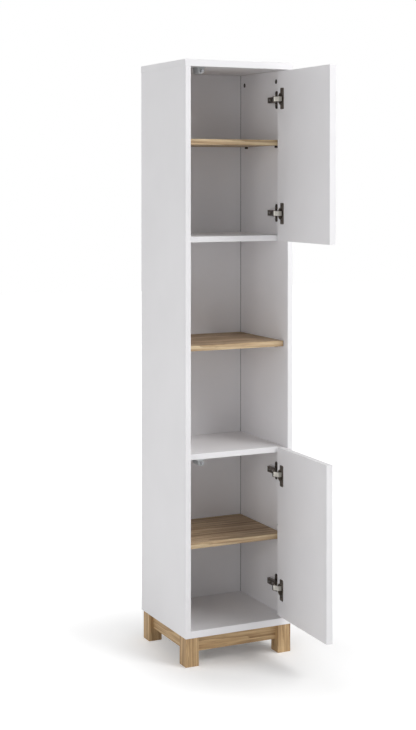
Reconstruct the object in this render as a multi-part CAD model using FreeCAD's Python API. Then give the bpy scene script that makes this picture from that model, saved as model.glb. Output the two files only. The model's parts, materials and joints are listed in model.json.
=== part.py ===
import math
import os

import FreeCAD
import Part

# Tall bathroom cabinet: white board carcass, two doors on concealed hinges at
# the right, oak-look shelves and base frame. Millimetres, +Z up, +X right,
# +Y to the back. The origin is on the floor, at the middle of the space that
# the cabinet takes with both doors open.

# carcass
width = 380.0
depth = 350.0
height = 1900.0
leg_height = 90.0
side_thick = 18.0
divider_thick = 18.0
top_thick = 22.0
top_overhang = 1.0
bottom_thick = 22.0
bay_height = 532.0          # clear height behind each door
back_thick = 4.0
back_setback = 14.0         # rear edge of the sides to the back panel
groove_depth = 6.0
groove_clear = 0.4

# shelves
shelf_thick = 18.0
shelf_setback = 33.0        # loose shelves, from the front plane
shelf_side_gap = 2.5
shelf_back_gap = 2.0
upper_shelf_rise = 289.0    # floor of the bay to the underside of the shelf
lower_shelf_rise = 249.0
shelf_ease = 0.6

# shelf pins
pin_hole_radius = 2.5
pin_hole_depth = 10.0
pin_end_space = 0.5
pin_reach = 9.0
pin_head_radius = 3.5
pin_front = 70.0
pin_rear = 282.0
pin_pitch = 40.0

# doors
door_thick = 22.0
door_end_gap = 6.0          # under the top panel, over the bottom panel
door_back_gap = 3.0         # inner face to the dividers' front edges
finger_gap = 12.0           # free edge to the left side panel
door_ease = 0.5
upper_open = 90.0           # opening angles as the cabinet stands
lower_open = 88.3

# concealed hinge, in plan from its turning axis
axis_in = 9.8               # axis to the hinge edge of the door
axis_to_face = 15.0         # axis to the door's inner face
corner_clear = 1.25         # door's outer corner past the side panel
cup_edge = 22.5             # cup centre to the hinge edge
cup_radius = 17.5
cup_wall = 1.1
cup_depth = 13.2
cup_floor = 0.9
cup_bore_clear = 0.3
flange_thick = 1.3
flange_radius = 19.5
ear_width = 22.0
ear_length = 68.0
ear_offset = 8.0
ear_corner = 4.0
cup_notch_reach = 17.0      # cup centre to the notch's far side
cup_notch_depth = 7.0
cup_notch_clear = 0.7
cup_screw_spacing = 48.0
hinge_end = 88.0            # door end to the centre of the hinge
arm_pivot = (-21.7, 19.0)
link_bend_open = (-16.7, 1.5)
link_end_radius = 6.0       # link end around the hinge axis
link_thick = 1.5
link_width = 15.0
link_eye_radius = 2.7
pivot_radius = 1.5
pivot_clear = 0.05
arm_sheet = 1.5
arm_cheek_clear = 0.3
arm_eye_radius = 3.2
arm_tail = 112.0            # from the front plane
arm_knee = 66.0
arm_height = 14.0           # over the side panel
arm_lift = 3.0              # arm's open side over the plate
arm_nose = 6.0              # arm pivot to the start of the slope
arm_throat = 5.0            # open stretch of the arm, ahead of the pivot
arm_overrun = 1.0           # cut past the arm's faces
plate_line = 74.0
plate_thick = 2.5
wing_width = 15.0
wing_length = 58.0
wing_screw_spacing = 32.0
plate_rail_width = 10.0
plate_rail_front = 58.0
plate_rail_rear = 106.0
arm_screw_front = 76.0
arm_screw_rear = 98.0
arm_screw_radius = 2.2
arm_screw_head_radius = 3.6
arm_screw_head = 2.0

# wood screws
screw_radius = 1.75
screw_length = 12.0
screw_head_radius = 3.5
screw_head = 1.8
socket_share = 0.35
socket_depth = 0.6

# push latch
latch_side = 47.0           # left side panel to the latch axis
latch_drop = 12.0           # board to the latch axis
latch_length = 40.0
latch_width = 32.0
latch_flange = 3.0
barrel_radius = 9.5
latch_bore_radius = 4.55
latch_end_wall = 4.0
plunger_radius = 4.5
plunger_length = 38.0
plunger_bore_radius = 3.2
plunger_nose = 6.0
plunger_stroke = 10.3
plunger_gap = 0.3           # pressed plunger to the closed door
latch_screw_x = 12.7
latch_screw_radius = 1.3
latch_screw_head_radius = 2.4
latch_screw_front = 12.0
latch_screw_rear = 30.0
spring_radius = 2.4
spring_wire = 0.4
spring_pitch = 2.0

# cam locks and dowels
cam_radius = 7.5
cam_length = 12.5
cam_reach = 34.0            # end of the board to the cam centre
cam_slot = 7.4
bolt_radius = 3.0
bolt_depth = 11.0
bolt_neck_radius = 2.4
bolt_head_radius = 3.4
bolt_bore_radius = 3.7
bolt_head = 3.0
bolt_head_past = 0.4        # head past the cam centre
cam_slot_past = 0.6
top_cam_front = 80.0
top_cam_rear = 304.0
top_dowel_front = 42.0
top_dowel_rear = 266.0
end_cam_front = 112.0
end_cam_rear = 276.0
end_dowel_front = 60.0
end_dowel_rear = 310.0
dowel_radius = 4.0
dowel_in_face = 11.0
dowel_in_end = 19.0
dowel_space = 1.0

# base frame
leg_size = 46.0
leg_left_inset = 0.5
leg_right_inset = 6.0
leg_front_inset = 2.0
leg_rear_inset = 15.0
leg_ease = 0.8
rail_height = 48.0
rail_thick = 20.0
rail_recess = 16.0
rail_dowel_spacing = 24.0
rail_dowel_depth = 15.0
base_screw_spacing = 150.0
base_screw_radius = 2.0
base_screw_head_radius = 4.0
base_screw_head = 2.5
base_screw_sink = 22.0
base_screw_bite = 14.0
base_sink_radius = 4.8

# hinge axis, and how far the open doors reach
arm_width = link_width + 2 * (arm_cheek_clear + arm_sheet)
hinge_gap = math.hypot(axis_in, door_thick - axis_to_face) - axis_in + corner_clear
x_right = width / 2
x_left = -x_right
x_in_left = x_left + side_thick
x_in_right = x_right - side_thick
door_x0 = x_in_left + finger_gap
door_x1 = x_in_right - hinge_gap
axis_x = door_x1 - axis_in
axis_back = door_thick - axis_to_face


def turned(x, y, degrees):
    a = math.radians(degrees)
    return (x * math.cos(a) - y * math.sin(a), x * math.sin(a) + y * math.cos(a))


def door_reach(degrees):
    corners = [turned(door_x0 - axis_x, y, degrees)[1] for y in (-axis_back, axis_to_face)]
    return -axis_back - min(corners)


reach = max(door_reach(upper_open), door_reach(lower_open))
y_rear = (depth + reach) / 2
y_front = y_rear - depth
axis_y = y_front + axis_back

# levels
z_floor = leg_height + bottom_thick
z_ceiling = height - top_thick
lower_divider_z = z_floor + bay_height
lower_divider_top = lower_divider_z + divider_thick
upper_divider_top = z_ceiling - bay_height
upper_divider_z = upper_divider_top - divider_thick
middle_shelf_z = (lower_divider_top + upper_divider_z - shelf_thick) / 2
upper_shelf_z = upper_divider_top + upper_shelf_rise
lower_shelf_z = z_floor + lower_shelf_rise
door_height = bay_height + divider_thick - door_end_gap
upper_door_z = upper_divider_z
lower_door_z = z_floor + door_end_gap

# planes
y_divider = y_front + door_thick + door_back_gap
y_back_rear = y_rear - back_setback
y_back = y_back_rear - back_thick

os.makedirs("parts", exist_ok=True)


def point(x, y, z=0.0):
    return FreeCAD.Vector(x, y, z)


def block(x0, x1, y0, y1, z0, z1):
    return Part.makeBox(x1 - x0, y1 - y0, z1 - z0, point(x0, y0, z0))


def eased(solid, size):
    return solid.makeChamfer(size, solid.Edges)


def rod(radius, length, start, way):
    return Part.makeCylinder(radius, length, point(*start), point(*way))


def slab(outline, z0, z1):
    points = [point(x, y, z0) for x, y in outline]
    face = Part.Face(Part.makePolygon(points + points[:1]))
    return face.extrude(point(0, 0, z1 - z0))


def joined(solids):
    solid = solids[0].fuse(solids[1:]) if len(solids) > 1 else solids[0]
    return solid.removeSplitter()


def save(name, shape):
    if isinstance(shape, list):
        shape = Part.makeCompound(shape)
    shape.exportStep(f"parts/{name}.step")


# Screw with its head's underside at start, shank along way.
def screw(start, way, radius, length, head_radius, head):
    s = point(*start)
    w = point(*way)
    shank = Part.makeCylinder(radius, length, s, w)
    cap = Part.makeCylinder(head_radius, head, s, w * -1)
    socket = Part.makeCylinder(head_radius * socket_share, head * socket_depth, s - w * head, w)
    return joined([shank, cap]).cut(socket)


# Holes that the fasteners need, by board.
cuts = {name: [] for name in ("left", "right", "top", "bottom", "upper", "lower")}
cams = []
bolts = []
dowels = []


# A cam lock. start is on the joint plane, way runs into the board that holds
# the cam, and face is the side of that board where the cam shows.
def cam_lock(start, way, face, board_thick, holder, receiver):
    s = point(*start)
    w = point(*way)
    f = point(*face)
    centre = s + w * cam_reach
    mouth = centre + f * (board_thick / 2)
    cam = Part.makeCylinder(cam_radius, cam_length, mouth, f * -1)
    slot_end = centre + w * (bolt_head_radius + cam_slot_past)
    slot = Part.makeCylinder(cam_slot / 2, cam_radius * 2, slot_end, w * -1)
    cams.append(cam.cut(slot))
    shank = Part.makeCylinder(bolt_radius, bolt_depth, s, w * -1)
    neck = Part.makeCylinder(bolt_neck_radius, cam_reach, s, w)
    head_start = centre - w * (bolt_head - bolt_head_past)
    head = Part.makeCylinder(bolt_head_radius, bolt_head, head_start, w)
    bolts.append(joined([shank, neck, head]))
    cuts[holder].append(cam)
    bore = cam_reach + cam_slot_past
    cuts[holder].append(Part.makeCylinder(bolt_bore_radius, bore, s, w))
    cuts[receiver].append(shank)


def dowel(start, way, end_board, face_board):
    s = point(*start)
    w = point(*way)
    length = dowel_in_face + dowel_in_end
    dowels.append(Part.makeCylinder(dowel_radius, length, s - w * dowel_in_face, w))
    face_hole = dowel_in_face + dowel_space
    end_hole = dowel_in_end + dowel_space
    cuts[face_board].append(Part.makeCylinder(dowel_radius, face_hole, s, w * -1))
    cuts[end_board].append(Part.makeCylinder(dowel_radius, end_hole, s, w))


# The top panel lies on the sides; the bottom panel and dividers stand between.
for side, x_mid, face in (
    ("left", x_left + side_thick / 2, (1, 0, 0)),
    ("right", x_right - side_thick / 2, (-1, 0, 0)),
):
    for y in (top_cam_front, top_cam_rear):
        start = (x_mid, y_front + y, z_ceiling)
        cam_lock(start, (0, 0, -1), face, side_thick, side, "top")
    for y in (top_dowel_front, top_dowel_rear):
        dowel((x_mid, y_front + y, z_ceiling), (0, 0, -1), side, "top")

for board, thick, z_board in (
    ("bottom", bottom_thick, leg_height),
    ("lower", divider_thick, lower_divider_z),
    ("upper", divider_thick, upper_divider_z),
):
    z_mid = z_board + thick / 2
    for side, x, way in (("left", x_in_left, (1, 0, 0)), ("right", x_in_right, (-1, 0, 0))):
        for y in (end_cam_front, end_cam_rear):
            cam_lock((x, y_front + y, z_mid), way, (0, 0, -1), thick, board, side)
        for y in (end_dowel_front, end_dowel_rear):
            dowel((x, y_front + y, z_mid), way, board, side)

# Shelf pins. The lower shelf has a second row of holes, one step higher.
pins = {}
shelves = (
    ("upper_shelf", upper_shelf_z, shelf_setback, (0,)),
    ("middle_shelf", middle_shelf_z, door_thick + door_back_gap, (0,)),
    ("lower_shelf", lower_shelf_z, shelf_setback, (0, 1)),
)
for shelf, z_shelf, setback, steps in shelves:
    z_pin = z_shelf - pin_head_radius
    pins[shelf] = []
    for side, x, out in (("left", x_in_left, -1), ("right", x_in_right, 1)):
        for y in (pin_front, pin_rear):
            start = (x, y_front + y, z_pin)
            peg = rod(pin_hole_radius, pin_hole_depth - pin_end_space, start, (out, 0, 0))
            head = rod(pin_head_radius, pin_reach, start, (-out, 0, 0))
            pins[shelf].append(joined([peg, head]))
            for step in steps:
                mouth = (x, y_front + y, z_pin + step * pin_pitch)
                hole = rod(pin_hole_radius, pin_hole_depth, mouth, (out, 0, 0))
                cuts[side].append(hole)
    save(f"{shelf}_pins", pins[shelf])
    front = y_front + setback
    board = block(
        x_in_left + shelf_side_gap, x_in_right - shelf_side_gap,
        front, y_back - shelf_back_gap,
        z_shelf, z_shelf + shelf_thick,
    )
    save(shelf, eased(board, shelf_ease))

# Back panel, in grooves of the sides, the top panel and the bottom panel.
groove = block(
    x_in_left - groove_depth, x_in_right + groove_depth,
    y_back, y_back_rear + groove_clear,
    z_floor - groove_depth, z_ceiling + groove_depth,
)
back = block(
    x_in_left - groove_depth + groove_clear, x_in_right + groove_depth - groove_clear,
    y_back, y_back_rear,
    z_floor - groove_depth, z_ceiling + groove_depth - groove_clear,
)
save("back_panel", back)

# Base frame: four legs, four rails with dowels, screws up into the carcass.
leg_x0 = x_left + leg_left_inset
leg_x1 = x_right - leg_right_inset
leg_y0 = y_front + leg_front_inset
leg_y1 = y_rear - leg_rear_inset
rail_z = leg_height - rail_height
legs = {
    "front_left_leg": (leg_x0, leg_y0),
    "front_right_leg": (leg_x1 - leg_size, leg_y0),
    "rear_left_leg": (leg_x0, leg_y1 - leg_size),
    "rear_right_leg": (leg_x1 - leg_size, leg_y1 - leg_size),
}
leg_solids = {}
for name, (x, y) in legs.items():
    leg_solids[name] = eased(block(x, x + leg_size, y, y + leg_size, 0, leg_height), leg_ease)

rail_x0 = leg_x0 + leg_size
rail_x1 = leg_x1 - leg_size
rail_y0 = leg_y0 + leg_size
rail_y1 = leg_y1 - leg_size
front_rail_y = leg_y0 + rail_recess
rear_rail_y = leg_y1 - rail_recess - rail_thick
left_rail_x = leg_x0 + rail_recess
right_rail_x = leg_x1 - rail_recess - rail_thick
rails = {
    "front_rail": block(rail_x0, rail_x1, front_rail_y, front_rail_y + rail_thick, rail_z, leg_height),
    "rear_rail": block(rail_x0, rail_x1, rear_rail_y, rear_rail_y + rail_thick, rail_z, leg_height),
    "left_rail": block(left_rail_x, left_rail_x + rail_thick, rail_y0, rail_y1, rail_z, leg_height),
    "right_rail": block(right_rail_x, right_rail_x + rail_thick, rail_y0, rail_y1, rail_z, leg_height),
}
base_dowels = []
base_screws = []
base_cuts = []
rail_mid_z = leg_height - rail_height / 2
rail_ends = []
for y in (front_rail_y, rear_rail_y):
    rail_ends.append(((rail_x0, y + rail_thick / 2), (1, 0, 0)))
    rail_ends.append(((rail_x1, y + rail_thick / 2), (-1, 0, 0)))
for x in (left_rail_x, right_rail_x):
    rail_ends.append(((x + rail_thick / 2, rail_y0), (0, 1, 0)))
    rail_ends.append(((x + rail_thick / 2, rail_y1), (0, -1, 0)))
for (x, y), way in rail_ends:
    for z in (rail_mid_z - rail_dowel_spacing / 2, rail_mid_z + rail_dowel_spacing / 2):
        w = point(*way)
        start = point(x, y, z) - w * rail_dowel_depth
        peg = Part.makeCylinder(dowel_radius, rail_dowel_depth * 2, start, w)
        hole_start = start - w * dowel_space
        hole_length = (rail_dowel_depth + dowel_space) * 2
        base_dowels.append(peg)
        base_cuts.append(Part.makeCylinder(dowel_radius, hole_length, hole_start, w))

screw_spots = []
x_mid = (rail_x0 + rail_x1) / 2
y_mid = (rail_y0 + rail_y1) / 2
for offset in (-base_screw_spacing / 2, base_screw_spacing / 2):
    screw_spots.append((x_mid + offset, front_rail_y + rail_thick / 2))
    screw_spots.append((x_mid + offset, rear_rail_y + rail_thick / 2))
    screw_spots.append((left_rail_x + rail_thick / 2, y_mid + offset))
    screw_spots.append((right_rail_x + rail_thick / 2, y_mid + offset))
base_screw_length = rail_height - base_screw_sink + base_screw_bite
for x, y in screw_spots:
    start = (x, y, rail_z + base_screw_sink)
    base_screws.append(screw(
        start, (0, 0, 1), base_screw_radius, base_screw_length,
        base_screw_head_radius, base_screw_head,
    ))
    shank = rod(base_screw_radius, base_screw_length, start, (0, 0, 1))
    base_cuts.append(shank)
    base_cuts.append(rod(base_sink_radius, base_screw_sink, start, (0, 0, -1)))
    cuts["bottom"].append(shank)

for name, solid in {**leg_solids, **rails}.items():
    save(name, solid.cut(base_cuts))
save("base_dowels", base_dowels)
save("base_screws", base_screws)

# Push latches, each under a board, its plunger out while the door is open.
latch_y = y_divider
bore_length = latch_length - latch_end_wall
plunger_tip = y_front + door_thick + plunger_gap - plunger_stroke
latch_x = x_in_left + latch_side
for name, z_board, holder in (
    ("upper", z_ceiling, "top"),
    ("lower", lower_divider_z, "lower"),
):
    z_axis = z_board - latch_drop
    flange = block(
        latch_x - latch_width / 2, latch_x + latch_width / 2,
        latch_y, latch_y + latch_length,
        z_board - latch_flange, z_board,
    )
    neck = block(
        latch_x - barrel_radius, latch_x + barrel_radius,
        latch_y, latch_y + latch_length,
        z_axis, z_board,
    )
    barrel = rod(barrel_radius, latch_length, (latch_x, latch_y, z_axis), (0, 1, 0))
    bore = rod(latch_bore_radius, bore_length, (latch_x, latch_y, z_axis), (0, 1, 0))
    housing = joined([flange, neck, barrel]).cut(bore)
    screws = []
    for x, y in ((latch_screw_x, latch_screw_front), (-latch_screw_x, latch_screw_rear)):
        start = (latch_x + x, latch_y + y, z_board - latch_flange)
        screws.append(screw(
            start, (0, 0, 1), latch_screw_radius, screw_length,
            latch_screw_head_radius, screw_head,
        ))
        shank = rod(latch_screw_radius, screw_length, start, (0, 0, 1))
        housing = housing.cut(shank)
        cuts[holder].append(shank)
    save(f"{name}_latch_housing", housing)
    save(f"{name}_latch_screws", screws)
    body = rod(plunger_radius, plunger_length, (latch_x, plunger_tip, z_axis), (0, 1, 0))
    hollow_start = (latch_x, plunger_tip + plunger_nose, z_axis)
    body = body.cut(rod(plunger_bore_radius, plunger_length, hollow_start, (0, 1, 0)))
    save(f"{name}_plunger", body)
    spring_front = plunger_tip + plunger_nose + plunger_stroke + plunger_gap
    spring_length = latch_y + bore_length - spring_front - 2 * spring_wire
    helix = Part.makeHelix(spring_pitch, spring_length, spring_radius)
    profile = Part.Wire([Part.makeCircle(
        spring_wire, point(spring_radius, 0, 0), point(0, 1, 0),
    )])
    coil = Part.Wire(helix.Edges).makePipeShell([profile], True, True)
    coil.rotate(point(0, 0, 0), point(1, 0, 0), -90)
    coil.translate(point(latch_x, spring_front + spring_wire, z_axis))
    save(f"{name}_latch_spring", coil)

# Concealed hinges. Everything is set out from the hinge axis.
pivot_x = axis_x + arm_pivot[0]
pivot_y = axis_y + arm_pivot[1]
end_open = (axis_x - link_end_radius, axis_y)
bend_open = (axis_x + link_bend_open[0], axis_y + link_bend_open[1])


def link_angle(x, y):
    return math.degrees(math.atan2(y - pivot_y, x - pivot_x))


# While the door turns a quarter, the link turns by link_sweep.
link_sweep = link_angle(*end_open) - link_angle(axis_x, axis_y + link_end_radius)
print("link ratio", round(link_sweep / 90, 5), "reach", round(reach, 3))


def strip(start, end, thick, z0, z1):
    length = math.dist(start, end)
    dx = (end[0] - start[0]) / length * thick / 2
    dy = (end[1] - start[1]) / length * thick / 2
    bar = slab([
        (start[0] + dy, start[1] - dx),
        (end[0] + dy, end[1] - dx),
        (end[0] - dy, end[1] + dx),
        (start[0] - dy, start[1] + dx),
    ], z0, z1)
    return bar.fuse(rod(thick / 2, z1 - z0, (end[0], end[1], z0), (0, 0, 1)))


def make_link(z, degrees):
    z0 = z - link_width / 2
    z1 = z + link_width / 2
    pivot = (pivot_x, pivot_y)
    eye = rod(link_eye_radius, link_width, (pivot_x, pivot_y, z0), (0, 0, 1))
    hole = rod(pivot_radius + pivot_clear, link_width, (pivot_x, pivot_y, z0), (0, 0, 1))
    upper = strip(pivot, bend_open, link_thick, z0, z1)
    lower = strip(bend_open, end_open, link_thick, z0, z1)
    link = joined([eye, upper, lower]).cut(hole)
    link.rotate(point(pivot_x, pivot_y), point(0, 0, 1), degrees)
    return link


def make_arm(z):
    z0 = z - arm_width / 2
    z1 = z + arm_width / 2
    crest = x_in_right - arm_height
    low = x_in_right - plate_thick - arm_lift
    knee_y = y_front + arm_knee
    tail_y = y_front + arm_tail
    nose = pivot_x - arm_eye_radius
    outline = [
        (nose, pivot_y), (nose, pivot_y + arm_nose), (crest, knee_y), (crest, tail_y),
        (low, tail_y), (low, knee_y - arm_lift), (pivot_x + arm_eye_radius, pivot_y),
    ]
    eye = rod(arm_eye_radius, arm_width, (pivot_x, pivot_y, z0), (0, 0, 1))
    arm = joined([slab(outline, z0, z1), eye])
    web = arm_sheet
    over = arm_overrun
    throat = pivot_y - arm_throat
    channel = slab([
        (nose - over, throat), (nose - over, pivot_y + arm_throat),
        (nose + web, pivot_y + arm_nose + web), (crest + web, knee_y),
        (crest + web, tail_y + over), (low + over, tail_y + over), (low + over, throat),
    ], z0 + web, z1 - web)
    arm = arm.cut(channel)
    for y in (arm_screw_front, arm_screw_rear):
        start = (crest - over, y_front + y, z)
        arm = arm.cut(rod(arm_screw_radius, web + 2 * over, start, (1, 0, 0)))
    pin = rod(pivot_radius, arm_width, (pivot_x, pivot_y, z0), (0, 0, 1))
    return arm.cut(pin), pin


def make_plate(z):
    x0 = x_in_right - plate_thick
    half = wing_length / 2 - wing_width / 2
    line = y_front + plate_line
    wings = [block(x0, x_in_right, line - wing_width / 2, line + wing_width / 2, z - half, z + half)]
    for end in (z - half, z + half):
        wings.append(rod(wing_width / 2, plate_thick, (x0, line, end), (1, 0, 0)))
    rail_top = x_in_right - arm_height + arm_sheet
    rail = block(
        rail_top, x_in_right,
        y_front + plate_rail_front, y_front + plate_rail_rear,
        z - plate_rail_width / 2, z + plate_rail_width / 2,
    )
    plate = joined(wings + [rail])
    screws = []
    for z_screw in (z - wing_screw_spacing / 2, z + wing_screw_spacing / 2):
        start = (x0, line, z_screw)
        screws.append(screw(
            start, (1, 0, 0), screw_radius, screw_length, screw_head_radius, screw_head,
        ))
        shank = rod(screw_radius, screw_length, start, (1, 0, 0))
        plate = plate.cut(shank)
        cuts["right"].append(shank)
    fixings = []
    for y in (arm_screw_front, arm_screw_rear):
        start = (x_in_right - arm_height, y_front + y, z)
        bite = arm_height - plate_thick
        fixings.append(screw(
            start, (1, 0, 0), arm_screw_radius, bite,
            arm_screw_head_radius, arm_screw_head,
        ))
        plate = plate.cut(rod(arm_screw_radius, bite, start, (1, 0, 0)))
    return plate, screws, fixings


# The cup as it sits in the closed door: flange on the inner face.
def make_cup(z):
    face = y_front + door_thick
    x = door_x1 - cup_edge
    bowl = rod(cup_radius, cup_depth, (x, face, z), (0, -1, 0))
    flange = rod(flange_radius, flange_thick, (x, face, z), (0, 1, 0))
    x_ear = x - ear_offset
    half = ear_length / 2
    ears = block(
        x_ear - ear_width / 2, x_ear + ear_width / 2,
        face, face + flange_thick,
        z - half, z + half,
    )
    corners = [e for e in ears.Edges if abs(e.BoundBox.YLength - flange_thick) < 1e-6]
    ears = ears.makeFillet(ear_corner, corners)
    inside = rod(
        cup_radius - cup_wall, cup_depth - cup_floor + flange_thick,
        (x, face + flange_thick, z), (0, -1, 0),
    )
    notch_half = link_width / 2 + cup_notch_clear
    notch = block(
        x, x + cup_notch_reach,
        face - cup_notch_depth, face + flange_thick,
        z - notch_half, z + notch_half,
    )
    cup = joined([bowl, flange, ears]).cut([inside, notch])
    screws = []
    pilot = []
    for z_screw in (z - cup_screw_spacing / 2, z + cup_screw_spacing / 2):
        start = (x_ear, face + flange_thick, z_screw)
        screws.append(screw(
            start, (0, -1, 0), screw_radius, screw_length, screw_head_radius, screw_head,
        ))
        pilot.append(rod(screw_radius, screw_length, start, (0, -1, 0)))
    recess = rod(cup_radius, cup_depth + cup_bore_clear, (x, face, z), (0, -1, 0))
    return cup.cut(pilot), screws, [recess] + pilot


def opened(shape, degrees):
    shape.rotate(point(axis_x, axis_y), point(0, 0, 1), degrees)
    return shape


for door, z_door, angle in (
    ("upper", upper_door_z, upper_open),
    ("lower", lower_door_z, lower_open),
):
    slab_solid = eased(block(
        door_x0, door_x1,
        y_front, y_front + door_thick,
        z_door, z_door + door_height,
    ), door_ease)
    plate_screws = []
    arm_screws = []
    arm_pins = []
    cup_screws = []
    links = []
    for place, z in (("top", z_door + door_height - hinge_end), ("bottom", z_door + hinge_end)):
        plate, side_screws, fixings = make_plate(z)
        arm, pin = make_arm(z)
        cup, face_screws, holes = make_cup(z)
        slab_solid = slab_solid.cut(holes)
        save(f"{door}_{place}_hinge_plate", plate)
        save(f"{door}_{place}_hinge_arm", arm)
        save(f"{door}_{place}_hinge_cup", opened(cup, angle))
        plate_screws += side_screws
        arm_screws += fixings
        arm_pins.append(pin)
        cup_screws += [opened(s, angle) for s in face_screws]
        links.append(make_link(z, link_sweep * (angle - 90) / 90))
    save(f"{door}_door", opened(slab_solid, angle))
    save(f"{door}_plate_screws", plate_screws)
    save(f"{door}_arm_screws", arm_screws)
    save(f"{door}_arm_pins", arm_pins)
    save(f"{door}_cup_screws", cup_screws)
    save(f"{door}_hinge_links", links)

# Carcass boards, with every hole that the pieces above ask for.
sides = {
    "left": block(x_left, x_in_left, y_front, y_rear, leg_height, z_ceiling),
    "right": block(x_in_right, x_right, y_front, y_rear, leg_height, z_ceiling),
}
for side, board in sides.items():
    save(f"{side}_side_panel", board.cut([groove] + cuts[side]))
top = block(
    x_left - top_overhang, x_right + top_overhang, y_front, y_rear, z_ceiling, height,
)
save("top_panel", top.cut([groove] + cuts["top"]))
bottom = block(x_in_left, x_in_right, y_front, y_rear, leg_height, z_floor)
save("bottom_panel", bottom.cut([groove] + cuts["bottom"]))
for name, z in (("upper", upper_divider_z), ("lower", lower_divider_z)):
    board = block(x_in_left, x_in_right, y_divider, y_back, z, z + divider_thick)
    save(f"{name}_divider", board.cut(cuts[name]))
save("cam_locks", cams)
save("cam_bolts", bolts)
save("wood_dowels", dowels)
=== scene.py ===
import bpy
import json
import math
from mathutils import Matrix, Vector


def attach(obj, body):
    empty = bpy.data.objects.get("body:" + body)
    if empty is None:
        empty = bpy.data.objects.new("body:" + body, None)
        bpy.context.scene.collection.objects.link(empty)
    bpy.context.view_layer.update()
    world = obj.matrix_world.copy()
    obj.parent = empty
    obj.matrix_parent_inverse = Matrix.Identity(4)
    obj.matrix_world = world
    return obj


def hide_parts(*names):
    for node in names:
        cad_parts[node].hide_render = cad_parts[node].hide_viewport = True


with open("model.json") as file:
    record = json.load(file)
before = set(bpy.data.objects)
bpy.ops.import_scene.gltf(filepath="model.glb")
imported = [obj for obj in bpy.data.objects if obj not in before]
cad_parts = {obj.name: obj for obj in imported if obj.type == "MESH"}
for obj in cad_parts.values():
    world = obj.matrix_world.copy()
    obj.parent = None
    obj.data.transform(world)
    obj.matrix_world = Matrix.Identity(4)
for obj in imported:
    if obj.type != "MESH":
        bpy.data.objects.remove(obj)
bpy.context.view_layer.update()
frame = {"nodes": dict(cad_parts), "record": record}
print("frame loaded", len(frame["nodes"]), "nodes")


# one shader socket, so that maths on it reads as plain sums
class Signal:
    def __init__(self, paint, socket):
        self.paint = paint
        self.socket = socket

    def maths(self, operation, *values):
        return self.paint.node("ShaderNodeMath", {"operation": operation}, dict(enumerate(values)))

    def __add__(self, other):
        return self.maths("ADD", self, other)

    def __radd__(self, other):
        return self.maths("ADD", other, self)

    def __sub__(self, other):
        return self.maths("SUBTRACT", self, other)

    def __rsub__(self, other):
        return self.maths("SUBTRACT", other, self)

    def __mul__(self, other):
        return self.maths("MULTIPLY", self, other)

    def __rmul__(self, other):
        return self.maths("MULTIPLY", other, self)

    def __abs__(self):
        return self.maths("ABSOLUTE", self)

    # of two masks, the stronger one
    def __or__(self, other):
        return self.maths("MAXIMUM", self, other)


# a noise is always given as scale, detail, roughness and distortion
noiseCore = (0.35, 0.65)      # most of its values lie in here
noiseReach = (0.3, 0.7)       # and nearly all of them in here


# a material, or the world, under construction
class Paint:
    def __init__(self, owner):
        self.owner = owner
        owner.use_nodes = True
        self.tree = owner.node_tree
        self.tree.nodes.clear()

    def node(self, kind, settings=None, sockets=None, output=0):
        made = self.tree.nodes.new(kind)
        for key, value in (settings or {}).items():
            if key == "stops":
                self.setStops(made.color_ramp, value)
            else:
                setattr(made, key, value)
        for key, value in (sockets or {}).items():
            self.feed(made.inputs[key], value)
        return Signal(self, made.outputs[output]) if len(made.outputs) else None

    def setStops(self, ramp, stops):
        while len(ramp.elements) < len(stops):
            ramp.elements.new(1.0)
        for element, (place, colour) in zip(ramp.elements, stops):
            element.position = place
            element.color = colour

    def feed(self, socket, value):
        if isinstance(value, Signal):
            self.tree.links.new(value.socket, socket)
        else:
            socket.default_value = value

    # the point of the object that is being shaded
    def here(self):
        return self.node("ShaderNodeTexCoord", output="Object")

    def stretched(self, scale, shift=(0.0, 0.0, 0.0)):
        return self.node("ShaderNodeMapping", None, {
            "Vector": self.here(), "Scale": scale, "Location": shift,
        })

    def along(self, vector, axis):
        return self.node("ShaderNodeSeparateXYZ", None, {"Vector": vector}, output="xyz".index(axis))

    def distance(self, vector, point):
        return self.node("ShaderNodeVectorMath", {"operation": "DISTANCE"}, {0: vector, 1: point}, output=1)

    def noise(self, vector, scale, detail=2.0, rough=0.5, twist=0.0):
        return self.node("ShaderNodeTexNoise", None, {
            "Vector": vector, "Scale": scale, "Detail": detail, "Roughness": rough, "Distortion": twist,
        })

    def ramp(self, factor, stops):
        return self.node("ShaderNodeValToRGB", {"stops": stops}, {"Fac": factor})

    def span(self, value, low, high, newLow=0.0, newHigh=1.0):
        return self.node("ShaderNodeMapRange", {"clamp": True}, {
            "Value": value, "From Min": low, "From Max": high, "To Min": newLow, "To Max": newHigh,
        })

    def blend(self, factor, first, second):
        return self.node("ShaderNodeMix", {"data_type": "RGBA"}, {0: factor, 6: first, 7: second}, output=2)

    # a colour that drifts to another one in patches
    def patched(self, patches, first, second, reach=noiseCore):
        return self.blend(self.span(patches, *reach), first, second)

    # a roughness that a noise takes down and up
    def worn(self, rough, scuffs, less, more):
        return rough + self.span(scuffs, *noiseReach, less, more)

    def bump(self, height, strength, distance):
        return self.node("ShaderNodeBump", None, {
            "Height": height, "Strength": strength, "Distance": distance,
        })

    def finish(self, sockets):
        surface = self.node("ShaderNodeBsdfPrincipled", None, sockets)
        self.node("ShaderNodeOutputMaterial", None, {"Surface": surface})
        return self.owner

    # 1 for a ray that shows the background itself, 0 for one that lights the cabinet
    def seenRay(self):
        camera, glossy, through = (self.node("ShaderNodeLightPath", output="Is " + ray + " Ray")
                                   for ray in ("Camera", "Glossy", "Transmission"))
        return camera | glossy | through


def newPaint(name):
    return Paint(bpy.data.materials.new(name))


# a colour as a picture shows it, made linear
def rgba(red, green, blue):
    def linear(v):
        v /= 255.0
        return v / 12.92 if v <= 0.04045 else ((v + 0.055) / 1.055) ** 2.4
    return (linear(red), linear(green), linear(blue), 1.0)


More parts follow.
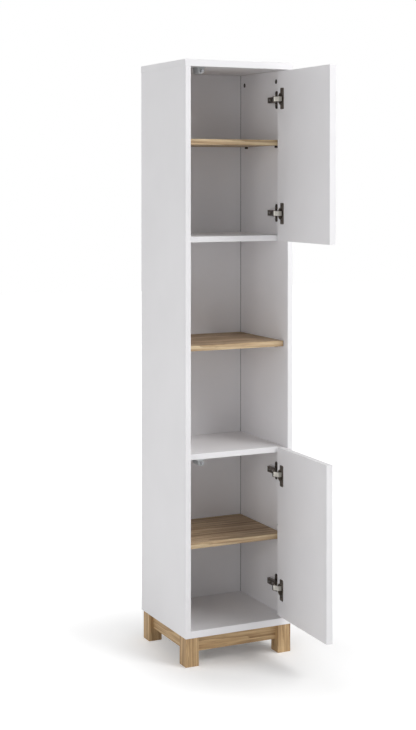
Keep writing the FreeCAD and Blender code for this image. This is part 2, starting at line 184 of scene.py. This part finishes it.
def darker(colour, share):
    return tuple(part * (1.0 - share) for part in colour[:3]) + (1.0,)


# where a node starts along an axis
def startOf(node, axis):
    return min(corner.co["xyz".index(axis)] for corner in frame["nodes"][node].data.vertices)


whiteBoard = {
    "face": rgba(240, 239, 241),
    "shade": rgba(236, 235, 237),
    "cloud": (3.1, 3.0),
    "rough": 0.42,
    "scuff": (7.0, 4.0, 0.65),
    "scuffStretch": (6.0, 6.0, 1.4),
    "wear": (-0.04, 0.06),
    "pebble": (1.0 / 0.0011, 2.0, 0.6),     # the foil's lumps are 1.1 mm across
    "pebbleStrength": 0.35,
    "pebbleDepth": 0.00002,
}


# the foil's fine texture, the same on all white boards
def pebbled(paint):
    lumps = paint.noise(paint.here(), *whiteBoard["pebble"])
    return paint.bump(lumps, whiteBoard["pebbleStrength"], whiteBoard["pebbleDepth"])


def makeWhiteBoard():
    paint = newPaint("whiteBoard")
    cloud = paint.noise(paint.here(), *whiteBoard["cloud"])
    scuff = paint.noise(paint.stretched(whiteBoard["scuffStretch"]), *whiteBoard["scuff"])
    return paint.finish({
        "Base Color": paint.patched(cloud, whiteBoard["face"], whiteBoard["shade"]),
        "Roughness": paint.worn(whiteBoard["rough"], scuff, *whiteBoard["wear"]),
        "Normal": pebbled(paint),
    })


backBoard = {
    "face": rgba(237, 236, 238),
    "joint": rgba(96, 92, 90),     # painted shadow: the dark line where it meets the sides, in the shade of the corners
    "shadowWidth": 0.0011,                 # width of that painted shadow, m
    "blur": 0.0001,
    "cloud": (2.6, 3.0),
    "rough": 0.5,
    "wear": (-0.04, 0.05),
}


def makeBackBoard():
    paint = newPaint("backBoard")
    # painted shadow: the back board turns to a dark line near the sides, where shade falls in the corners
    shadowStart = startOf("right_side_panel", "x") - backBoard["shadowWidth"]
    fromMiddle = abs(paint.along(paint.here(), "x"))
    joint = paint.span(fromMiddle, shadowStart - backBoard["blur"], shadowStart)
    cloud = paint.noise(paint.here(), *backBoard["cloud"])
    colour = paint.patched(cloud, backBoard["face"], whiteBoard["shade"])
    return paint.finish({
        "Base Color": paint.blend(joint, colour, backBoard["joint"]),
        "Roughness": paint.worn(backBoard["rough"], cloud, *backBoard["wear"]),
        "Normal": pebbled(paint),
    })


oak = {
    "frame": {"dark": rgba(148, 115, 77), "mid": rgba(186, 154, 112), "pale": rgba(216, 186, 142)},
    "top": {"dark": rgba(124, 98, 74), "mid": rgba(172, 145, 114), "pale": rgba(204, 178, 144)},
    "band": {"dark": rgba(150, 121, 88), "mid": rgba(200, 173, 136), "pale": rgba(226, 206, 168)},
    "tones": {"dark": 0.38, "mid": 0.49, "pale": 0.60},     # the figure's strength at each tone
    "bandDepth": 0.00036,       # how far back a shelf's front band reaches, m
    "bandBlur": 0.0002,
    "stretch": {"figure": 0.07, "pores": 0.035, "fibres": 0.02},    # scale along the grain
    "warp": (22.0, 2.0, 0.5),
    "figure": (46.0, 4.0, 0.6, 1.4),
    "rings": {"Scale": 26.0, "Distortion": 9.0, "Detail": 3.0, "Detail Scale": 1.1},
    "streaks": (190.0, 2.0, 0.55),
    "fibres": (620.0, 3.0, 0.6),
    "pores": (900.0, 1.0, 0.4),
    "shares": {"warp": 0.3, "figure": 0.3, "rings": 0.15, "streaks": 0.25},
    "fibreRange": (0.35, 0.7, 0.0, 0.35),     # of the noise, then of the dark that it adds
    "poreRange": (0.62, 0.72),
    "poreTone": rgba(108, 84, 62),
    "poreShare": 0.5,
    "rough": 0.55,
    "wear": (-0.06, 0.1),
    "relief": {"fibres": 0.5, "pores": 0.5},
    "bumpStrength": 0.5,
    "bumpDepth": 0.0002,
}


# three tones of oak, from the figure's strength
def oakTone(paint, strength, board):
    return paint.ramp(strength, [(oak["tones"][tone], oak[board][tone]) for tone in ("dark", "mid", "pale")])


# along is the axis that the grain follows, and a shelf has a paler band at its front
def makeOak(name, along, shift, shelf=None):
    paint = newPaint(name)

    def layer(stretch):
        scale = [1.0, 1.0, 1.0]
        scale["xyz".index(along)] = oak["stretch"][stretch]
        return paint.stretched(tuple(scale), shift)

    wide, fine = layer("figure"), layer("fibres")
    warp = paint.noise(wide, *oak["warp"])
    figure = paint.noise(wide, *oak["figure"])
    rings = paint.node("ShaderNodeTexWave", {
        "wave_type": "BANDS", "bands_direction": "DIAGONAL", "wave_profile": "SAW",
    }, {"Vector": wide, **oak["rings"]})
    streaks = paint.noise(fine, *oak["streaks"])
    fibres = paint.noise(fine, *oak["fibres"])
    pores = paint.span(paint.noise(layer("pores"), *oak["pores"]), *oak["poreRange"])
    shares = oak["shares"]
    strength = (warp * shares["warp"] + figure * shares["figure"] + rings * shares["rings"]
                + streaks * shares["streaks"])
    board = "top" if shelf else "frame"
    colour = oakTone(paint, strength, board)
    if shelf:
        bandEnd = startOf(shelf, "y") + oak["bandDepth"]
        behind = paint.span(paint.along(paint.here(), "y"), bandEnd, bandEnd + oak["bandBlur"])
        colour = paint.blend(behind, oakTone(paint, strength, "band"), colour)
    colour = paint.blend(paint.span(fibres, *oak["fibreRange"]), colour, oak[board]["dark"])
    colour = paint.blend(pores * oak["poreShare"], colour, oak["poreTone"])
    height = fibres * oak["relief"]["fibres"] + (1.0 - pores) * oak["relief"]["pores"]
    return paint.finish({
        "Base Color": colour,
        "Roughness": paint.worn(oak["rough"], fibres, *oak["wear"]),
        "Normal": paint.bump(height, oak["bumpStrength"], oak["bumpDepth"]),
    })


oakPieces = {
    "oakLeg": {"along": "z", "shift": (0.3, 0.11, 0.0)},
    "oakRailWide": {"along": "x", "shift": (0.0, 0.41, 0.23)},
    "oakRailDeep": {"along": "y", "shift": (0.17, 0.0, 0.52)},
    "oakUpper": {"along": "x", "shift": (0.0, 0.13, 0.31), "shelf": "upper_shelf"},
    "oakMiddle": {"along": "x", "shift": (0.2, 0.27, 0.05), "shelf": "middle_shelf"},
    "oakLower": {"along": "x", "shift": (0.4, 0.02, 0.17), "shelf": "lower_shelf"},
}

metals = {
    "satinNickel": {
        "colour": rgba(228, 225, 217), "rough": 0.42, "brush": 0.2, "metallic": 0.3, "speck": 0.05,
    },
    "armNickel": {"colour": rgba(120, 112, 104), "rough": 0.36, "brush": 0.2},
    "cupNickel": {"colour": rgba(126, 119, 111), "rough": 0.34, "brush": 0.2},
    "plateNickel": {"colour": rgba(88, 82, 76), "rough": 0.4, "brush": 0.2},
    "darkZinc": {"colour": rgba(92, 87, 82), "rough": 0.46, "brush": 0.3},
    "zinc": {"colour": rgba(150, 148, 146), "rough": 0.42, "brush": 0.3},
}
metalGrain = {
    "streaks": (900.0, 3.0, 0.6),
    "cloud": (160.0, 2.0),
    "wear": (-0.05, 0.09),
    "bumpStrength": 0.15,
    "bumpDepth": 0.00003,
}


# brush is the scale of the streaks along the height, speck how much darker the patches are
def makeMetal(name, colour, rough, brush, metallic=1.0, speck=0.12):
    paint = newPaint(name)
    streaks = paint.noise(paint.stretched((1.0, 1.0, brush)), *metalGrain["streaks"])
    cloud = paint.noise(paint.here(), *metalGrain["cloud"])
    return paint.finish({
        "Base Color": paint.patched(cloud, colour, darker(colour, speck)),
        "Metallic": metallic,
        "Roughness": paint.worn(rough, streaks, *metalGrain["wear"]),
        "Normal": paint.bump(streaks, metalGrain["bumpStrength"], metalGrain["bumpDepth"]),
    })


plainParts = {
    "beech": {"colour": rgba(214, 182, 140), "rough": 0.6, "grain": 500.0},
    "latchShell": {"colour": rgba(214, 216, 217), "rough": 0.34, "grain": 700.0, "through": 0.45},
    "latchNose": {"colour": rgba(150, 152, 155), "rough": 0.42, "grain": 700.0},
}
plainGrain = {
    "cloud": (60.0, 2.0),
    "shade": 0.07,
    "wear": (-0.05, 0.08),
    "bumpStrength": 0.25,
    "bumpDepth": 0.00003,
}


# moulded plastic and turned beech, where grain is the scale of the fine texture
def makePlain(name, colour, rough, grain, through=0.0):
    paint = newPaint(name)
    fine = paint.noise(paint.here(), grain)
    cloud = paint.noise(paint.here(), *plainGrain["cloud"])
    return paint.finish({
        "Base Color": paint.patched(cloud, colour, darker(colour, plainGrain["shade"]), noiseReach),
        "Roughness": paint.worn(rough, fine, *plainGrain["wear"]),
        "Transmission Weight": through,
        "Normal": paint.bump(fine, plainGrain["bumpStrength"], plainGrain["bumpDepth"]),
    })


materials = {"whiteBoard": makeWhiteBoard(), "backBoard": makeBackBoard()}
for make, group in ((makeOak, oakPieces), (makeMetal, metals), (makePlain, plainParts)):
    for name, values in group.items():
        materials[name] = make(name, **values)
print("materials made", len(materials))


# what isn't named here is a white board
finishes = {
    "backBoard": ("back_panel",),
    "oakUpper": ("upper_shelf",),
    "oakMiddle": ("middle_shelf",),
    "oakLower": ("lower_shelf",),
    "oakRailWide": ("front_rail", "rear_rail"),
    "oakRailDeep": ("left_rail", "right_rail"),
    "oakLeg": ("front_left_leg", "front_right_leg", "rear_left_leg", "rear_right_leg"),
    "beech": ("wood_dowels", "base_dowels"),
    "darkZinc": ("cam_locks",),
    "zinc": ("cam_bolts", "base_screws"),
}
endings = {
    "_hinge_plate": "plateNickel",
    "_hinge_arm": "armNickel",
    "_hinge_cup": "cupNickel",
    "_hinge_links": "satinNickel",
    "_arm_pins": "satinNickel",
    "_arm_screws": "zinc",
    "_screws": "armNickel",
    "_shelf_pins": "darkZinc",
    "_latch_housing": "latchShell",
    "_latch_spring": "zinc",
    "_plunger": "latchNose",
}


def finishFor(node):
    for finish, names in finishes.items():
        if node in names:
            return finish
    for ending, finish in endings.items():
        if node.endswith(ending):
            return finish
    return "whiteBoard"


for node, thing in frame["nodes"].items():
    for slot in thing.material_slots:
        slot.material = materials[finishFor(node)]
print("CAD nodes finished")


bodyOf = {node: body for body, nodes in frame["record"]["behaviour"]["bodies"].items() for node in nodes}

shaping = {
    "weld": 0.000005,                    # m
    "flat": math.radians(0.5),           # faces that turn less than this are one
    "smooth": math.radians(32.0),        # edges that turn less than this are shaded round
    "touch": 0.00002,                    # m, how near a corner on a face is
    "facing": 0.9,                       # share of a normal that points the way a face looks
}


# a node's mesh merged into a piece of its own, ready to be shaped
def mergedCopy(node, name):
    bpy.ops.object.select_all(action="DESELECT")
    piece = bpy.data.objects.new(name, frame["nodes"][node].data.copy())
    piece.data.name = name
    bpy.context.collection.objects.link(piece)
    piece.select_set(True)
    bpy.context.view_layer.objects.active = piece
    bpy.ops.object.mode_set(mode="EDIT")
    bpy.ops.mesh.select_all(action="SELECT")
    bpy.ops.mesh.remove_doubles(threshold=shaping["weld"])
    bpy.ops.mesh.dissolve_limited(angle_limit=shaping["flat"])
    bpy.ops.mesh.select_all(action="DESELECT")
    bpy.ops.object.mode_set(mode="OBJECT")
    return piece


# the finished piece takes the node's place, finish and body
def fit(piece, node, smooth):
    piece.data.materials.clear()
    piece.data.materials.append(materials[finishFor(node)])
    bpy.ops.object.select_all(action="DESELECT")
    piece.select_set(True)
    bpy.context.view_layer.objects.active = piece
    if smooth:
        bpy.ops.object.shade_smooth_by_angle(angle=shaping["smooth"])
    else:
        bpy.ops.object.shade_flat()
    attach(piece, bodyOf[node])
    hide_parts(node)


boards = {
    "banded": {
        "nodes": ("top_panel", "bottom_panel", "left_side_panel", "right_side_panel",
                  "upper_divider", "lower_divider"),
        "radius": 0.0008, "rings": 3,
    },
    "rails": {
        "nodes": ("front_rail", "rear_rail", "left_rail", "right_rail"),
        "radius": 0.0012, "rings": 4,
    },
}
easing = {
    "sharp": math.radians(60.0),
    "shortest": 0.005,       # edges shorter than this stay sharp, m
}


# the sides of a box that a point lies on
def wallsAt(spot, low, high):
    return {(axis, end) for axis in range(3) for end, wall in enumerate((low[axis], high[axis]))
            if abs(spot[axis] - wall) < shaping["touch"]}


# rounds the piece's long outer edges, as the edge banding or a sander does, and leaves its holes sharp
def easeEdges(piece, radius, rings):
    bpy.ops.object.mode_set(mode="EDIT")
    bpy.ops.mesh.select_mode(type="EDGE")
    bpy.ops.mesh.edges_select_sharp(sharpness=easing["sharp"])
    bpy.ops.object.mode_set(mode="OBJECT")
    spots = [corner.co.copy() for corner in piece.data.vertices]
    low = [min(spot[axis] for spot in spots) for axis in range(3)]
    high = [max(spot[axis] for spot in spots) for axis in range(3)]
    for edge in piece.data.edges:
        first, second = (spots[corner] for corner in edge.vertices)
        outer = len(wallsAt(first, low, high) & wallsAt(second, low, high)) > 1
        edge.select = edge.select and outer and (first - second).length > easing["shortest"]
    bpy.ops.object.mode_set(mode="EDIT")
    bpy.ops.mesh.bevel(offset=radius, segments=rings, profile=0.5, affect="EDGES", clamp_overlap=False)
    bpy.ops.object.mode_set(mode="OBJECT")
    for corner in piece.data.vertices:      # the rounding mustn't make the board any larger
        for axis in range(3):
            corner.co[axis] = min(max(corner.co[axis], low[axis]), high[axis])


for group in boards.values():
    for node in group["nodes"]:
        piece = mergedCopy(node, node + "_eased")
        easeEdges(piece, group["radius"], group["rings"])
        fit(piece, node, False)
print("board edges eased")


hardware = {
    "pressed": {
        "nodes": [hinge + kind for hinge in ("upper_top", "upper_bottom", "lower_top", "lower_bottom")
                  for kind in ("_hinge_plate", "_hinge_arm", "_hinge_cup")],
        "radius": 0.0003,
    },
    "links": {"nodes": ("upper_hinge_links", "lower_hinge_links"), "radius": 0.0003},
    "latches": {"nodes": ("upper_latch_housing", "lower_latch_housing"), "radius": 0.0005},
}
softening = {"rings": 2, "sharp": math.radians(38.0)}


# rounds every sharp edge of a metal or plastic piece a little
def softenEdges(piece, radius):
    soft = piece.modifiers.new("soft", "BEVEL")
    soft.width = radius
    soft.segments = softening["rings"]
    soft.limit_method = "ANGLE"
    soft.angle_limit = softening["sharp"]
    bpy.ops.object.modifier_apply(modifier=soft.name)


for group in hardware.values():
    for node in group["nodes"]:
        piece = mergedCopy(node, node + "_softened")
        softenEdges(piece, group["radius"])
        fit(piece, node, True)
print("hardware edges softened")


# head, shank and cross are radii, and all sizes are in m
screws = {
    "wing": {"nodes": ("upper_cup_screws", "lower_cup_screws", "upper_plate_screws", "lower_plate_screws"),
             "head": 0.0035, "height": 0.0018, "shank": 0.00175, "length": 0.012, "cross": 0.0019},
    "arm": {"nodes": ("upper_arm_screws", "lower_arm_screws"),
            "head": 0.0036, "height": 0.0020, "shank": 0.0022, "length": 0.005, "cross": 0.0021},
    "latch": {"nodes": ("upper_latch_screws", "lower_latch_screws"),
              "head": 0.0024, "height": 0.0018, "shank": 0.0013, "length": 0.012, "cross": 0.0014},
    "base": {"nodes": ("base_screws",),
             "head": 0.0040, "height": 0.0025, "shank": 0.0020, "length": 0.040, "cross": 0.0022},
}
pan = {
    "sides": 28,
    "rim": 0.45,          # how far the head's rim is rounded, as a share of its height
    "rimRings": 4,
    "tip": 0.2,           # share of the length that runs to the point
    "point": 0.3,         # width of the point, as a share of the shank's
    "sunk": 0.6,          # depth of the CAD screw's socket, as a share of the head's height
}
cross = {
    "arm": 0.0008,        # width of the recess's arms, m
    "depth": 0.0011,
    "socket": 0.0015,     # no CAD screw's socket floor is larger
    "corners": 12,        # none has fewer, but a scrap of the lower latch's rear head passes too
}


# the plus-shaped tool that sinks the recess
def crossCutter(reach):
    bpy.ops.mesh.primitive_cube_add(size=cross["arm"], location=(0.0, 0.0, 0.0))
    cutter = bpy.context.object
    for corner in cutter.data.vertices:
        corner.co.z *= 2.0 * cross["depth"] / cross["arm"]
    for face in cutter.data.polygons:
        face.select = abs(face.normal.z) < shaping["facing"]
    bpy.ops.object.mode_set(mode="EDIT")
    bpy.ops.mesh.select_mode(type="FACE")
    bpy.ops.mesh.extrude_faces_move(TRANSFORM_OT_shrink_fatten={"value": reach - cross["arm"] / 2.0})
    bpy.ops.object.mode_set(mode="OBJECT")
    return cutter


def extrudeDown(drop):
    bpy.ops.mesh.extrude_region_move(TRANSFORM_OT_translate={"value": (0.0, 0.0, -drop)})


# one pan-head screw with the head's face at the origin, facing up
def makeScrew(name, size):
    bpy.ops.object.select_all(action="DESELECT")
    bpy.ops.mesh.primitive_cylinder_add(
        vertices=pan["sides"], radius=size["head"], depth=size["height"],
        location=(0.0, 0.0, -size["height"] / 2.0))
    screw = bpy.context.object
    screw.name = name
    bpy.ops.object.transform_apply(location=True, rotation=False, scale=False)
    mesh = screw.data
    for face in mesh.polygons:
        face.select = face.normal.z < -shaping["facing"]
    bpy.ops.object.mode_set(mode="EDIT")
    bpy.ops.mesh.select_mode(type="FACE")
    bpy.ops.mesh.inset(thickness=size["head"] - size["shank"])
    extrudeDown((1.0 - pan["tip"]) * size["length"])
    extrudeDown(pan["tip"] * size["length"])
    bpy.ops.transform.resize(value=(pan["point"], pan["point"], 1.0))
    bpy.ops.mesh.select_all(action="DESELECT")
    bpy.ops.object.mode_set(mode="OBJECT")
    for edge in mesh.edges:
        edge.select = all(abs(mesh.vertices[corner].co.z) < shaping["touch"] for corner in edge.vertices)
    bpy.ops.object.mode_set(mode="EDIT")
    bpy.ops.mesh.select_mode(type="EDGE")
    bpy.ops.mesh.bevel(
        offset=pan["rim"] * size["height"], segments=pan["rimRings"], profile=0.5, affect="EDGES")
    bpy.ops.object.mode_set(mode="OBJECT")
    bpy.ops.object.select_all(action="DESELECT")
    cutter = crossCutter(size["cross"])
    bpy.ops.object.select_all(action="DESELECT")
    screw.select_set(True)
    bpy.context.view_layer.objects.active = screw
    sink = screw.modifiers.new("cross", "BOOLEAN")
    sink.operation = "DIFFERENCE"
    sink.object = cutter
    bpy.ops.object.modifier_apply(modifier=sink.name)
    bpy.data.objects.remove(cutter)
    return screw


# latch and base screws look down, all others look across to the left
def looksOut(node, way):
    down = node.endswith("_latch_screws") or node == "base_screws"
    return (way.z if down else way.x) < -shaping["facing"]


# the sockets of a node's CAD screws: the middle of each one's floor and the way it looks
def socketsOf(node):
    probe = mergedCopy(node, "probe")
    corners = probe.data.vertices
    sockets = []
    for face in probe.data.polygons:
        radius = max((corners[corner].co - face.center).length for corner in face.vertices)
        socket = len(face.vertices) >= cross["corners"] and radius < cross["socket"]
        if socket and looksOut(node, face.normal):
            sockets.append((face.center.copy(), face.normal.copy()))
    bpy.data.objects.remove(probe)
    return sockets


for kind, size in screws.items():
    model = makeScrew(kind + "_screw", size)
    for node in size["nodes"]:
        copies = []
        for spot, way in socketsOf(node):
            turned = way.to_track_quat("Z", "Y").to_matrix().to_4x4()
            turned.translation = spot + way * pan["sunk"] * size["height"]
            one = bpy.data.objects.new(node + "_cross", model.data.copy())
            one.data.transform(turned)
            bpy.context.collection.objects.link(one)
            copies.append(one)
        bpy.ops.object.select_all(action="DESELECT")
        for one in copies:
            one.select_set(True)
        bpy.context.view_layer.objects.active = copies[0]
        bpy.ops.object.join()
        print(node, len(copies), "screws")
        fit(copies[0], node, True)
    bpy.data.objects.remove(model)
print("screws made")


studio = {
    "floor": 14.0,           # half size of the floor, m
    "floorTone": (0.92, 0.92, 0.92, 1.0),
    "middle": (0.0, 0.05, 0.0),
    "corner": (0.1, -0.1, 0.0),
    # painted light that the camera alone sees added to the floor, growing away from the cabinet so that its
    # shadow fades to white: two distances in m, and how much at each of them
    "fromMiddle": ((0.08, 0.17, 0.07, 0.15), (0.22, 0.40, 0.0, 0.08)),
    "fromCorner": ((0.25, 0.80, 0.0, 0.38), (0.80, 2.5, 0.0, 0.39)),
    "surround": 0.30,        # strength of the white room's light
}
white = (1.0, 1.0, 1.0, 1.0)
black = (0.0, 0.0, 0.0, 1.0)


# the floor keeps the cabinet's shadow near it, and painted light that the camera alone sees takes it to
# plain white away from it
def makeFloorMaterial():
    paint = newPaint("studioFloor")
    matt = paint.node("ShaderNodeBsdfDiffuse", None, {"Color": studio["floorTone"]})
    fromMiddle = paint.distance(paint.here(), studio["middle"])
    fromCorner = paint.distance(paint.here(), studio["corner"])
    # painted light: a glow seen by the camera alone, small under the cabinet and growing away from it, which
    # fades the shadow to white
    paintedLift = (sum(paint.span(fromMiddle, *span) for span in studio["fromMiddle"])
            + sum(paint.span(fromCorner, *span) for span in studio["fromCorner"]))
    glow = paint.node("ShaderNodeEmission", None, {"Color": white, "Strength": paintedLift})
    dark = paint.node("ShaderNodeEmission", None, {"Color": black, "Strength": 0.0})
    extra = paint.node("ShaderNodeMixShader", None, {0: paint.seenRay(), 1: dark, 2: glow})
    total = paint.node("ShaderNodeAddShader", None, {0: matt, 1: extra})
    paint.node("ShaderNodeOutputMaterial", None, {"Surface": total})
    return paint.owner


bpy.ops.object.select_all(action="DESELECT")
bpy.ops.mesh.primitive_plane_add(size=2.0 * studio["floor"], location=(0.0, 0.0, 0.0))
floor = bpy.context.object
floor.name = "studioFloor"
floor.data.materials.append(makeFloorMaterial())

world = bpy.data.worlds.new("studio")
bpy.context.scene.world = world
sky = Paint(world)
room = sky.node("ShaderNodeBackground", None, {"Color": white, "Strength": studio["surround"]})
backdrop = sky.node("ShaderNodeBackground", None, {"Color": white, "Strength": 1.0})
either = sky.node("ShaderNodeMixShader", None, {0: sky.seenRay(), 1: room, 2: backdrop})
sky.node("ShaderNodeOutputWorld", None, {"Surface": either})

lamps = {
    "frontRight": {"at": (1.9, -3.2, 4.0), "aim": (0.0, 0.0, 0.9), "size": (1.8, 1.8), "power": 99.0},
    "rightHigh": {"at": (3.0, -1.45, 4.0), "aim": (0.0, 0.0, 0.7), "size": (1.6, 1.6), "power": 30.0},
    "rightFront": {"at": (3.2, -2.9, 1.5), "aim": (0.0, 0.0, 0.9), "size": (1.6, 1.6), "power": 11.0},
    "rightLow": {"at": (3.9, -1.9, 0.8), "aim": (0.0, 0.0, 0.7), "size": (1.4, 1.2), "power": 10.0},
    "left": {"at": (-4.5, -0.2, 1.6), "aim": (0.0, 0.0, 0.9), "size": (2.4, 2.4), "power": 15.0},
    "leftBack": {"at": (-4.2, 1.6, 1.3), "aim": (0.0, 0.1, 0.8), "size": (2.4, 2.2), "power": 23.0},
    "leftFront": {"at": (-3.6, -3.0, 1.6), "aim": (0.0, 0.0, 0.9), "size": (2.2, 2.2), "power": 36.5},
}
for name, lamp in lamps.items():
    light = bpy.data.lights.new(name, "AREA")
    light.shape = "RECTANGLE"
    light.size, light.size_y = lamp["size"]
    light.energy = lamp["power"]
    holder = bpy.data.objects.new(name, light)
    holder.location = lamp["at"]
    way = Vector(lamp["aim"]) - Vector(lamp["at"])
    holder.rotation_euler = way.to_track_quat("-Z", "Y").to_euler()
    bpy.context.collection.objects.link(holder)

view = {
    "at": (-2.08047, -4.09405, 1.52893),
    "yaw": 0.44983,
    "pitch": 0.01498,       # looking a little down
    "focalPx": 1446.39,
    "middlePx": 200.0,      # row that the lens points at
    "heightPx": 730,        # of the whole picture
    "sensor": 36.0,         # mm
    "farthest": 100.0,      # m
}
cameraData = bpy.data.cameras.new("camera")
cameraData.sensor_fit = "AUTO"
cameraData.sensor_width = view["sensor"]
cameraData.lens = view["sensor"] * view["focalPx"] / view["heightPx"]
cameraData.shift_y = (view["middlePx"] - view["heightPx"] / 2) / view["heightPx"]
cameraData.clip_end = view["farthest"]
camera = bpy.data.objects.new("camera", cameraData)
camera.location = view["at"]
camera.rotation_euler = (math.radians(90.0) - view["pitch"], 0.0, -view["yaw"])
bpy.context.collection.objects.link(camera)
bpy.context.scene.camera = camera
bpy.context.scene.view_settings.view_transform = "Standard"
print("studio ready")
